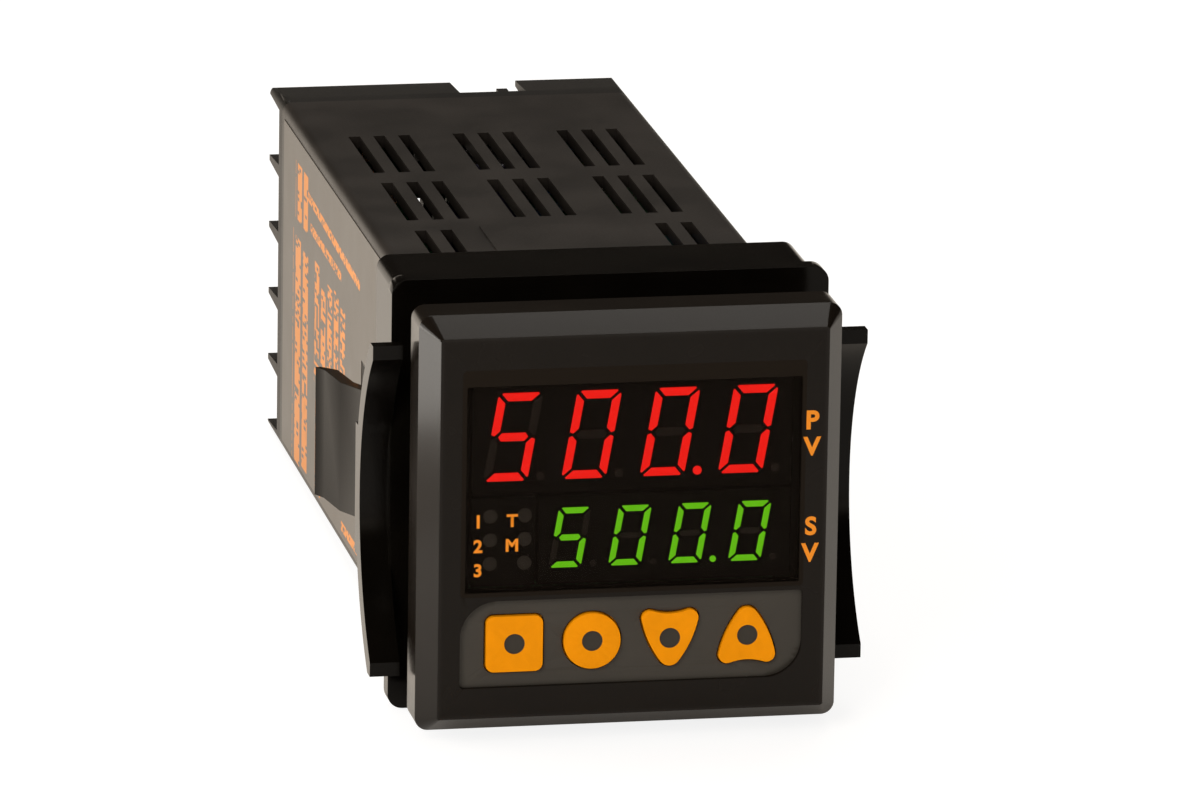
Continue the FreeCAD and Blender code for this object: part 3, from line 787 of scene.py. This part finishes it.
@dataclass
class Display:
    """Light modules, lamps and digits, whose bars stand just proud of the dark modules.

    Edge is the share of a bar's outline that its front edge keeps, and that edge's depth.
    """

    front: float = -6.87
    back: float = -6.70
    edge: Pair = (0.93, 0.05)
    dot_points: int = 24
    rows: Tuple[DigitRow, ...] = (
        DigitRow("red", "red_light", -13.55, 8.9, 10.2, 2.06, 4.60, 0.92, 0.27),
        DigitRow("green", "green_light", -6.95, 6.83, -1.65, 1.52, 3.12, 0.66, 0.24,
                 dot_offset=(3.2, 0.36)))

    @staticmethod
    def bar_outlines(row: DigitRow) -> Dict[str, Array]:
        """Outline of each bar before the slant.

        The six outer bars are trapezoids between mitre lines from the outer to the inner corner,
        set back by the gap, with a chamfer on the outer corner; the middle bar is a hexagon. The
        lower and left bars are the upper and right ones mirrored.

        Args:
            row: The row's sizes.

        Returns:
            Six points for each bar letter.
        """
        w, h, t, g = row.half_width, row.half_height, row.bar / 2, row.gap
        inner, outer, under, over = w - t, w + t, h - t, h + t
        cut, tip, foot = t * 0.55, t * 0.2, g * 0.6
        top = np.array([(-outer + g + cut, over), (outer - g - cut, over),
                        (outer - g - cut * 0.55, over - cut * 0.5), (inner - g, under),
                        (g - inner, under), (-outer + g + cut * 0.55, over - cut * 0.5)])
        right = np.array([(outer, over - g - cut), (outer, foot + t * 0.35), (w + tip, foot),
                          (inner, t + g), (inner, under - g),
                          (outer - cut * 0.5, over - g - cut * 0.55)])
        middle = np.array([(g - w + tip, 0), (g - inner, t), (inner - g, t), (w - g - tip, 0),
                           (inner - g, -t), (g - inner, -t)])
        flip_x, flip_z = np.array([-1, 1]), np.array([1, -1])
        return {"a": top, "b": right, "c": right * flip_z, "d": top * flip_z,
                "e": right * flip_z * flip_x, "f": right * flip_x, "g": middle}

    def bars(self, row: DigitRow, state: str) -> Piece:
        """The lit or unlit bars and points of a row as one mesh.

        Each outline is slanted (x grows by the slant times z) and carried through five levels:
        back middle, back rim, front rim, a slightly smaller front edge and the front middle.

        Args:
            row: The row's sizes.
            state: Which bars are made, lit or unlit.

        Returns:
            The bars of that row.
        """
        outlines, lit, chosen = self.bar_outlines(row), state == "lit", []
        pointed, foot = row.text.index(".") - 1, -row.half_height
        for index, sign in enumerate(row.text.replace(".", "")):
            origin = np.array([row.first + index * row.pitch, row.middle_z])
            for letter, outline in outlines.items():
                if (letter in LIT_BARS[sign]) == lit:
                    x, z = outline.T
                    chosen.append(np.stack([x + row.slant * z, z], axis=1) + origin)
            if (index == pointed) == lit:
                middle = origin + np.array([row.dot_offset[0] + row.slant * foot, foot])
                chosen.append(circle(self.dot_points) * row.dot_offset[1] + middle)
        meshes, faces, start = [], [], 0
        edge_reach, edge_depth = self.edge
        profile = np.array([[0.0, self.back], [1.0, self.back], [1.0, self.front + edge_depth],
                            [edge_reach, self.front], [0.0, self.front]])
        for outline in chosen:
            x, z = outline.mean(0)
            meshes.append(carried(profile, outline - (x, z))[:, [0, 2, 1]] + (x, 0.0, z))
            faces.append(grid_faces(len(profile), len(outline)) + start)
            start += len(meshes[-1])
        name = "%s_%s_bars" % (row.name, state)
        made = mesh_object(name, np.concatenate(meshes), np.concatenate(faces))
        made.data.shade_flat()
        return made

    def build(self, shop: Workshop) -> None:
        """Builds and dresses the display."""
        for node in ("red_display_module", "green_display_module", "lamp_holder"):
            shop.coat(node, "display_filter")
        shop.coat("indicator_lamps", "lamp_off")
        for row in self.rows:
            for state, finish in (("lit", row.finish), ("unlit", "unlit_segment")):
                shop.fit(self.bars(row, state), HOUSING, finish,
                         ["%s_%s_segments" % (row.name, state)])


@dataclass
class Keys:
    """Four keys with their plungers and switches."""

    pitch: float = 8.85
    row_z: float = -13.5
    rounding: float = 0.22

    def build(self, shop: Workshop) -> None:
        """Builds and dresses the keys."""
        for index, shape in enumerate(KeyShape):
            centre = ((index - 1.5) * self.pitch, self.row_z)
            skin = KeyRubber("key_skin_" + shape.value, centre).material()
            body = shape.value + "_key"
            shop.round_off("key_" + shape.value, body, skin, self.rounding, 3)
            shop.coat("switch_plunger_" + shape.value, "switch_black")
        shop.coat("switch_bodies", "switch_black")


@dataclass
class Case:
    """Vented case sleeve and its printed side sheet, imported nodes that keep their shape."""

    def build(self, shop: Workshop) -> None:
        """Dresses the case."""
        shop.coat("case_sleeve", "case_black")
        shop.coat("side_label", "printed_sheet")


@dataclass
class MountingFrame:
    """One moulding with flange, collar, arms and levers."""

    rounding: float = 0.22

    def build(self, shop: Workshop) -> None:
        """Builds and dresses the frame."""
        shop.round_off("mounting_frame", FRAME_BODY, "frame_black", self.rounding, 3)


@dataclass
class Terminals:
    """Rear moulding with its strips, clamps and cross recess screws.

    Head levels are the foot and top of the rounded side and the dome's top. The recess has a half
    width, a reach and a depth, and its sides and ends fade over the two soft lengths.
    """

    rounding: float = 0.12
    clamp_rounding: float = 0.1
    columns: Tuple[float, ...] = (-14.4, 0.0, 14.4)
    rows: int = 5
    pitch: float = 8.34
    head_radius: float = 2.8
    head_round: float = 0.9
    head_levels: Triple = (0.5, 1.5, 2.0)
    head_foot: float = 110.1
    shank_radius: float = 1.5
    shank_end: float = 104.0
    recess: Triple = (0.36, 1.55, 1.1)
    recess_soft: Pair = (0.14, 0.5)
    ring_points: int = 56
    turn: float = 2.4

    def screws(self) -> Piece:
        """All the screws as one mesh.

        A screw is a profile turned about its axis: shank, flat underside, rounded side and low
        dome. On the dome the height drops by the recess depth where a point is within the half
        width of either arm of a cross, and fades towards the arm's end. Each screw is turned by
        its own angle.

        Returns:
            The screws, their axes along y.
        """
        ring = circle(self.ring_points)
        bend = np.linspace(0.0, np.pi / 2, 6)
        radius, end = self.shank_radius, self.shank_end - self.head_foot
        flat, (low, mid, high) = self.head_radius - self.head_round, self.head_levels
        outward, upward = self.head_round * np.cos(bend), (mid - low) * np.sin(bend)
        side = np.stack([flat + outward, low + upward], axis=1)
        reach = np.linspace(flat, 0.0, 15)[1:]
        dome = np.stack([reach, mid + (high - mid) * (1 - (reach / flat) ** 2)], axis=1)
        shank = np.array([[0.0, end], [radius * 0.7, end], [radius, end + 0.5], [radius, 0.0],
                          [self.head_radius, 0.0]])
        points = carried(np.concatenate([shank, side, dome]), ring)
        half, arm, depth = self.recess
        u, v = np.abs(points[:, 0]), np.abs(points[:, 1])
        across, along = np.minimum(u, v), np.maximum(u, v)
        sunk = (np.clip((half - across) / self.recess_soft[0], 0, 1)
                * np.clip((arm - along) / self.recess_soft[1], 0, 1))
        points[:, 2] -= depth * sunk * (points[:, 2] > mid - 0.05)
        levels = (np.arange(self.rows) - (self.rows - 1) / 2) * self.pitch
        column, row = (axis.reshape(-1, 1) for axis in np.meshgrid(self.columns, levels))
        turn = np.arange(len(row))[:, None] * self.turn
        x = points[:, 0] * np.cos(turn) - points[:, 1] * np.sin(turn) + column
        z = points[:, 0] * np.sin(turn) + points[:, 1] * np.cos(turn) + row
        y = np.broadcast_to(self.head_foot + points[:, 2], x.shape)
        faces = grid_faces(len(points) // len(ring), len(ring))
        every = faces[None] + (np.arange(len(row)) * len(points))[:, None, None]
        placed = np.stack([x, y, z], axis=-1).reshape(-1, 3)
        return mesh_object("cross_recess_screws", placed, every.reshape(-1, 4))

    def build(self, shop: Workshop) -> None:
        """Builds and dresses the terminals."""
        shop.round_off("terminal_block", HOUSING, "terminal_black", self.rounding)
        shop.coat("terminal_strips", "tinned_brass")
        shop.round_off("terminal_clamps", HOUSING, "zinc_steel", self.clamp_rounding)
        shop.fit(self.screws(), HOUSING, "zinc_steel", ["terminal_screws"])


@dataclass
class Inside:
    """Boards and components behind the vents.

    A can's crimp is given by its foot's height and its length, a leg by its radius and length.
    """

    rim: float = 0.35
    crimp: Pair = (1.4, 0.9)
    can_points: int = 64
    coil_points: int = 72
    coil_rows: int = 193
    corner_power: float = 0.28
    turn_depth: float = 0.02
    disc_points: int = 40
    leg: Pair = (0.3, 5.0)
    leg_points: int = 12
    leg_share: float = 0.6
    plain: Tuple[Tuple[str, Tuple[str, ...]], ...] = (
        ("circuit_laminate", ("display_board", "power_board", "side_board", "rear_board")),
        ("core_steel", ("transformer_core",)), ("chip_epoxy", ("fuse", "microcontroller")))
    moulded: Tuple[Tuple[str, str, str, float], ...] = (
        ("relays", "relay_blue", "relay_blue", 0.5),
        ("film_capacitor", "film_red", "film_red", 0.7),
        ("board_connectors", "header_cream", "connector_cream", 0.25))

    @staticmethod
    def box_of(node: str) -> Tuple[Array, Array]:
        """A node's middle and half sizes in millimetres."""
        low, high = (np.array(corner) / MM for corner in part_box(node))
        return (low + high) / 2, (high - low) / 2

    def can(self, node: str) -> Tuple[Piece, CanSleeve]:
        """A capacitor can: a profile with a crimped foot and a rolled rim, turned about z."""
        middle, half = self.box_of(node)
        radius, low, top = half[0], middle[2] - half[2], middle[2] + half[2]
        bend = np.linspace(0.0, np.pi, 9)
        foot, length = self.crimp
        across, along = self.rim * np.cos(bend), self.rim * np.sin(bend)
        crimp = np.stack([radius - along, low + foot + length * bend / np.pi], axis=1)
        rim = np.stack([radius - self.rim + across, top - self.rim + along], axis=1)
        ends = np.array([[0.0, low], [radius - 0.3, low], [radius, low + 0.3]])
        lid = np.array([[radius - 0.75, top - 0.55], [radius * 0.5, top - 0.5], [0.0, top - 0.48]])
        points = carried(np.concatenate([ends, crimp, rim, lid]), circle(self.can_points))
        points[:, :2] += middle[:2]
        faces = grid_faces(len(points) // self.can_points, self.can_points)
        made = mesh_object(node + "_can", points, faces)
        return made, CanSleeve(node + "_finish", (middle[0], middle[1]), radius, top)

    def winding(self, node: str) -> Piece:
        """The coil: turns that follow a sine, carried round a rounded rectangle along z."""
        middle, half = self.box_of(node)
        ring = circle(self.coil_points)
        outline = np.sign(ring) * np.abs(ring) ** self.corner_power * half[:2]
        outline /= (np.abs(outline) / half[:2]).max()
        height = np.linspace(-half[2], half[2], self.coil_rows)
        wave = np.abs(np.sin(np.pi * (height + half[2]) / TURN_PITCH))
        reach = 1.0 - self.turn_depth * (1.0 - wave)
        rows = np.stack([reach, height], axis=1)
        rows = np.concatenate([[[0.0, -half[2]]], rows, [[0.0, half[2]]]])
        points = carried(rows, outline) + middle
        return mesh_object(node + "_turns", points, grid_faces(len(rows), len(ring)))

    def disc(self, node: str) -> Piece:
        """A dipped disc on two legs: a lens profile turned about y."""
        middle, half = self.box_of(node)
        angle = np.linspace(0.0, np.pi, 17)
        profile = np.stack([np.sin(angle) ** 0.6 * half[0], -np.cos(angle) * half[1]], axis=1)
        points = carried(profile, circle(self.disc_points))[:, [0, 2, 1]]
        points[:, 2] += half[2] - half[0]
        radius, length = self.leg
        stalk = np.array([[0.0, 0.0], [radius, 0.0], [radius, length], [0.0, length]])
        leg = carried(stalk, circle(self.leg_points)) + middle
        legs = [leg + (side * half[0] * self.leg_share, 0.0, -half[2]) for side in (-1, 1)]
        faces = [grid_faces(len(angle), self.disc_points)]
        sides = grid_faces(len(stalk), self.leg_points) + len(points)
        faces += [sides, sides + len(leg)]
        every = np.concatenate([points + middle, *legs])
        return mesh_object(node + "_disc", every, np.concatenate(faces))

    def build(self, shop: Workshop) -> None:
        """Builds and dresses the boards and components."""
        for finish, nodes in self.plain:
            for node in nodes:
                shop.coat(node, finish)
        for node, finish, slot, width in self.moulded:
            shop.round_off(node, HOUSING, finish, width, 3)
        for node in ("tall_capacitor", "short_capacitor"):
            made, sleeve = self.can(node)
            shop.fit(made, HOUSING, sleeve.material(), [node])
        shop.fit(self.winding("transformer_winding"), HOUSING, "copper_turns",
                 ["transformer_winding"])
        shop.fit(self.disc("varistor"), HOUSING, "varistor_blue", ["varistor"])


# Studio


@dataclass
class Studio:
    """Camera fitted to the photograph, pale floor, soft lamps and surroundings."""

    turn: float = -11.104
    tilt: float = 15.168
    roll: float = 0.9185
    place: Triple = (-225.224, -1135.088, 325.832)
    focal_px: float = 10706.5
    frame_px: float = 1200.0
    sensor: float = 36.0
    flange_foot: Pair = (9.6, -25.0)
    rear_foot: Pair = (108.4, -21.6)
    floor_reach: float = 6000.0
    floor_gap: float = 0.02
    floor_patch: float = 40.0
    floor_greys: Tuple[Colour, Colour] = ((0.80, 0.80, 0.80), (0.84, 0.84, 0.84))
    floor_white: float = 0.72
    floor_glow: float = 1.19
    gloss_from: Pair = (-12.0, 26.0)
    gloss_fade: Pair = (25.0, 70.0)
    gloss_right: float = 0.2
    gloss_tint: Colour = (1.0, 0.88, 0.74)
    lamp_tint: Colour = (1.0, 0.955, 0.89)
    sky_band: Pair = (0.0, 0.12)
    sky_gloss: float = 0.025
    sky_light: float = 0.42
    lamps: Tuple[Tuple[str, Triple, Triple, float, float], ...] = (
        ("key_lamp", (-0.62, -0.72, 0.62), AIM, 0.5, 6.0),
        ("top_lamp", (0.05, 0.40, 0.80), AIM, 0.6, 3.6),
        ("side_lamp", (-0.95, 0.15, 0.12), AIM, 0.5, 3.2),
        ("left_card", (-0.112, 0.020, 0.012), (-0.024, -0.004, 0.018), 0.05, 0.045))

    def camera(self) -> None:
        """Sets the camera from its bearing, height angle, roll and place."""
        a, e, o = (math.radians(v) for v in (self.turn, self.tilt, self.roll))
        forward = Vector((-math.sin(a) * math.cos(e), math.cos(a) * math.cos(e), -math.sin(e)))
        level = Vector((math.cos(a), math.sin(a), 0.0))
        up = level.cross(forward)
        right = math.cos(o) * level + math.sin(o) * up
        top = -math.sin(o) * level + math.cos(o) * up
        data = bpy.data.cameras.new("photo_camera")
        data.sensor_fit = "HORIZONTAL"
        data.sensor_width = self.sensor
        data.lens = self.focal_px / self.frame_px * self.sensor
        data.clip_start, data.clip_end = 0.01, 50.0
        camera = linked("photo_camera", data)
        turned = Matrix((right, top, -forward)).transposed().to_4x4()
        camera.matrix_world = Matrix.Translation(Vector(self.place) * MM) @ turned
        bpy.context.scene.camera = camera

    def floor(self) -> None:
        """Pale floor through the two lines that the part rests on, at the flange and the rear."""
        (y0, z0), (y1, z1) = self.flange_foot, self.rear_foot
        slope = (z1 - z0) / (y1 - y0)
        corners = np.array([(-1, -1), (1, -1), (1, 1), (-1, 1)]) * self.floor_reach
        points = np.column_stack([corners, z0 - self.floor_gap + slope * (corners[:, 1] - y0)])
        made = mesh_object("floor", points, np.array([[0, 1, 2, 3]]))
        graph = Graph(bpy.data.materials.new("pale_floor"))
        x, y, _ = graph.place()
        camera = graph.ray("Camera")
        gloss = graph.ray("Glossy") * y.ramp(*self.gloss_from)
        gloss = gloss * x.ramp(*self.gloss_fade, 1.0, self.gloss_right)
        seen = camera.most(graph.ray("Transmission")).most(gloss)
        grey = graph.mix(graph.noise(self.floor_patch), *self.floor_greys)
        matt = graph.node("BsdfDiffuse", {"Color": grey})
        tint = graph.mix(camera, self.gloss_tint, WHITE)
        white = graph.node("Emission", {"Color": tint, "Strength": self.floor_glow})
        seen = seen * self.floor_white
        both = graph.node("MixShader", {0: seen, 1: matt.outputs[0], 2: white.outputs[0]})
        graph.node("OutputMaterial", {"Surface": both.outputs[0]})
        made.data.materials.append(graph.owner)

    def lamp(self, name: str, place: Triple, aim: Triple, size: float, power: float) -> None:
        """Adds one square soft lamp, with place, aim and size in metres, unseen by the camera."""
        data = bpy.data.lights.new(name, "AREA")
        data.shape = "SQUARE"
        data.size = size
        data.energy = power
        data.color = self.lamp_tint
        lamp = linked(name, data)
        lamp.rotation_euler = (Vector(aim) - Vector(place)).to_track_quat("-Z", "Y").to_euler()
        lamp.location = place
        lamp.visible_camera = False

    def surroundings(self) -> None:
        """World: dim for lighting, white to the camera, and in gloss a pale band at the horizon."""
        world = bpy.data.worlds.new("studio")
        bpy.context.scene.world = world
        graph = Graph(world)
        direction = graph.node("TexCoord").outputs["Generated"]
        height = graph.value("SeparateXYZ", {0: direction}, 2)
        camera = graph.ray("Camera")
        through = graph.ray("Glossy").most(graph.ray("Transmission"))
        band = height.ramp(*self.sky_band, 1.0, self.sky_gloss)
        strength = (through * band + (1.0 - through) * self.sky_light).most(camera)
        tint = graph.mix(camera, self.gloss_tint, WHITE)
        sky = graph.node("Background", {"Color": tint, "Strength": strength})
        graph.node("OutputWorld", {"Surface": sky.outputs[0]})

    def build(self) -> None:
        """Builds the camera, floor, lamps and surroundings."""
        self.camera()
        self.floor()
        for lamp in self.lamps:
            self.lamp(*lamp)
        self.surroundings()
        bpy.context.scene.view_settings.view_transform = "Standard"


def main() -> None:
    """Builds the controller's sub-assemblies in order."""
    logging.basicConfig(level=logging.INFO, format="%(name)s: %(message)s")
    shop = Workshop(Palette())
    Studio().build()
    for assembly in (Front(), Legends(), Display(), Keys(), Case(), MountingFrame(), Terminals(),
                     Inside()):
        assembly.build(shop)
        LOG.info("%s done", type(assembly).__name__)


if __name__ == "__main__":
    main()
